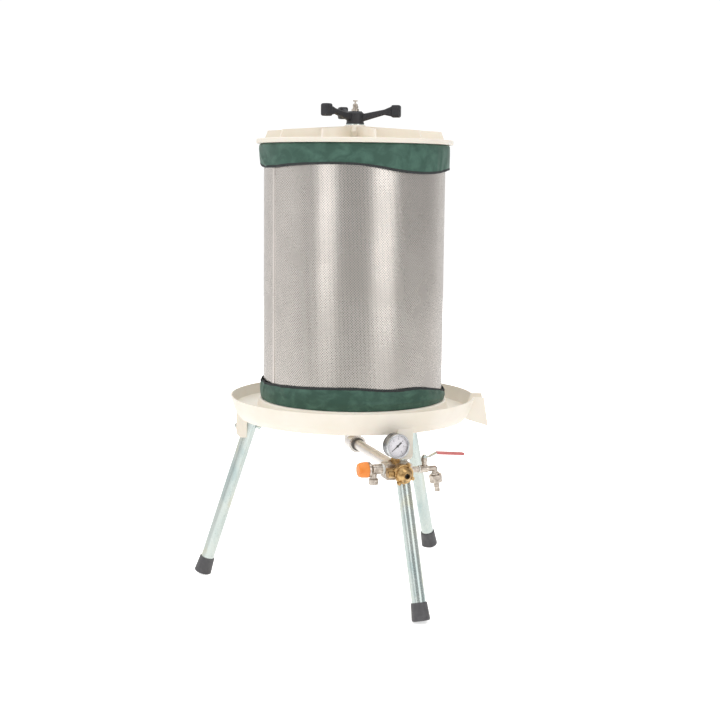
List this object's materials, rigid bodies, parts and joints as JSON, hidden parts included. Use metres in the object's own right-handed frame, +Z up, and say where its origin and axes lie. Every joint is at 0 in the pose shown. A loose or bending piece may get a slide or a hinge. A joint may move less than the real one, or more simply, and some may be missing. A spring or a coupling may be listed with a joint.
{
  "type": "water pressure fruit press",
  "caption": "Floor standing fruit press: perforated basket with green cloth round a water filled bladder, juice tray on tubular legs, hand nut and water valve cluster.",
  "frame": {"origin": "middle of the bounding box on the floor, under the feet; the press axis stands 30.9 mm along +X and 14.4 mm along +Y from it", "axes": "+Z up; the water valves point to the front, which is -Y turned 18 degrees towards +X; the pouring chute points along +X"},
  "size_m": [0.7158, 0.6792, 1.1618],
  "materials": {
    "cream_moulding": "smooth moulded cream plastic, low gloss",
    "zinc_plated": "zinc plated steel with a faint green and yellow tint",
    "foot_rubber": "matt dark grey moulded rubber",
    "stainless": "bright rolled stainless steel, perforated",
    "press_cloth": "coarse green woven press cloth",
    "bladder_rubber": "black natural rubber, slightly slack",
    "seal_rubber": "dark sealing rubber",
    "handle_moulding": "dark moulded nylon, satin",
    "cast_nickel": "satin nickel plated brass casting",
    "raw_brass": "cast and turned brass, slightly dull",
    "dark_steel": "dark burnished steel screw",
    "gauge_steel": "grey enamelled steel case",
    "gauge_glass": "clear flat window",
    "gauge_dial": "white enamelled dial",
    "needle": "black pointer",
    "orange_plastic": "orange moulded plastic",
    "red_grip": "red dipped vinyl sleeve",
    "seat_plastic": "white low friction plastic"
  },
  "bodies": {
    "stand": {"tray": "cream_moulding", "leg_front": "zinc_plated", "leg_back": "zinc_plated", "leg_left": "zinc_plated", "foot_front": "foot_rubber", "foot_back": "foot_rubber", "foot_left": "foot_rubber", "leg_bolts": "zinc_plated", "leg_nuts": "zinc_plated", "spindle": "stainless", "hub_gasket": "seal_rubber", "hub_washer": "zinc_plated", "hub_nut": "zinc_plated", "bladder": "bladder_rubber", "bladder_clamps": "zinc_plated", "centre_elbow": "stainless", "pipe_seal_ring": "seal_rubber", "supply_pipe": "stainless", "manifold_block": "cast_nickel", "gauge_stem": "raw_brass", "gauge_case": "gauge_steel", "gauge_bezel": "gauge_steel", "gauge_glass": "gauge_glass", "gauge_dial": "gauge_dial", "gauge_bourdon": "raw_brass", "reducer_body": "raw_brass", "reducer_diaphragm": "seal_rubber", "reducer_bonnet": "raw_brass", "reducer_screws": "raw_brass", "reducer_spring": "zinc_plated", "safety_body": "cast_nickel", "safety_seal_ring": "seat_plastic", "safety_plunger": "raw_brass", "safety_spring": "zinc_plated", "tap_nipple": "cast_nickel", "tap_seal_ring": "seat_plastic", "tap_body": "cast_nickel", "tap_seats": "seat_plastic", "union_washer": "seal_rubber", "hose_tail": "cast_nickel", "vent_collar": "cast_nickel", "vent_body": "cast_nickel"},
    "basket": {"basket": "stainless", "basket_rims": "stainless", "press_cloth": "press_cloth"},
    "lid": {"lid": "cream_moulding"},
    "thrust_washer": {"thrust_washer": "zinc_plated"},
    "hand_nut": {"thread_insert": "raw_brass", "handle_nut": "handle_moulding"},
    "vent_tap": {"vent_tap": "cast_nickel"},
    "gauge_needle": {"gauge_needle": "needle"},
    "spring_seat": {"spring_seat": "zinc_plated"},
    "adjuster": {"reducer_adjuster": "dark_steel"},
    "safety_cap": {"safety_cap": "orange_plastic"},
    "tap_lever": {"tap_ball": "cast_nickel", "tap_stem": "cast_nickel", "tap_lever": "zinc_plated", "lever_grip": "red_grip", "lever_nut": "zinc_plated"},
    "union_nut": {"union_nut": "cast_nickel"}
  },
  "joints": [
    {"name": "basket_lift", "type": "slide", "parent": "stand", "child": "basket", "axis": [0, 0, 1], "range_m": [0, 0.75]},
    {"name": "lid_lift", "type": "slide", "parent": "basket", "child": "lid", "axis": [0, 0, 1], "range_m": [0, 0.15]},
    {"name": "nut_rise", "type": "slide", "parent": "lid", "child": "thrust_washer", "axis": [0, 0, 1], "range_m": [0, 0.0325]},
    {"name": "nut_turn", "type": "hinge", "parent": "thrust_washer", "child": "hand_nut", "pos_m": [0.03089, 0.01444, 0], "axis": [0, 0, 1], "range_deg": [0, 2880]},
    {"name": "vent_turn", "type": "hinge", "parent": "stand", "child": "vent_tap", "pos_m": [0.03089, 0.01444, 0], "axis": [0, 0, 1], "range_deg": [0, 90]},
    {"name": "needle_turn", "type": "hinge", "parent": "stand", "child": "gauge_needle", "pos_m": [0.13018, -0.2782, 0.3917], "axis": [-0.4695, 0.8829, 0], "range_deg": [0, 270]},
    {"name": "seat_slide", "type": "slide", "parent": "stand", "child": "spring_seat", "axis": [0.309, -0.9511, 0], "range_m": [0, 0.002]},
    {"name": "adjuster_turn", "type": "hinge", "parent": "spring_seat", "child": "adjuster", "pos_m": [0.14145, -0.29346, 0.3347], "axis": [0.309, -0.9511, 0], "range_deg": [0, 720]},
    {"name": "cap_twist", "type": "hinge", "parent": "stand", "child": "safety_cap", "pos_m": [0.06808, -0.29838, 0.3411], "axis": [-0.9511, -0.309, 0], "range_deg": [-90, 0]},
    {"name": "tap_turn", "type": "hinge", "parent": "stand", "child": "tap_lever", "pos_m": [0.19457, -0.25728, 0.3357], "axis": [0, 0, 1], "range_deg": [-90, 0]},
    {"name": "union_spin", "type": "hinge", "parent": "stand", "child": "union_nut", "pos_m": [0.22273, -0.24813, 0.30409], "axis": [-0.1488, -0.0483, 0.9877], "continuous": true}
  ],
  "couplings": [
    {"joint": "nut_rise", "follows": "nut_turn", "m_per_rad": 0.00063662},
    {"joint": "seat_slide", "follows": "adjuster_turn", "m_per_rad": 0.000159}
  ]
}
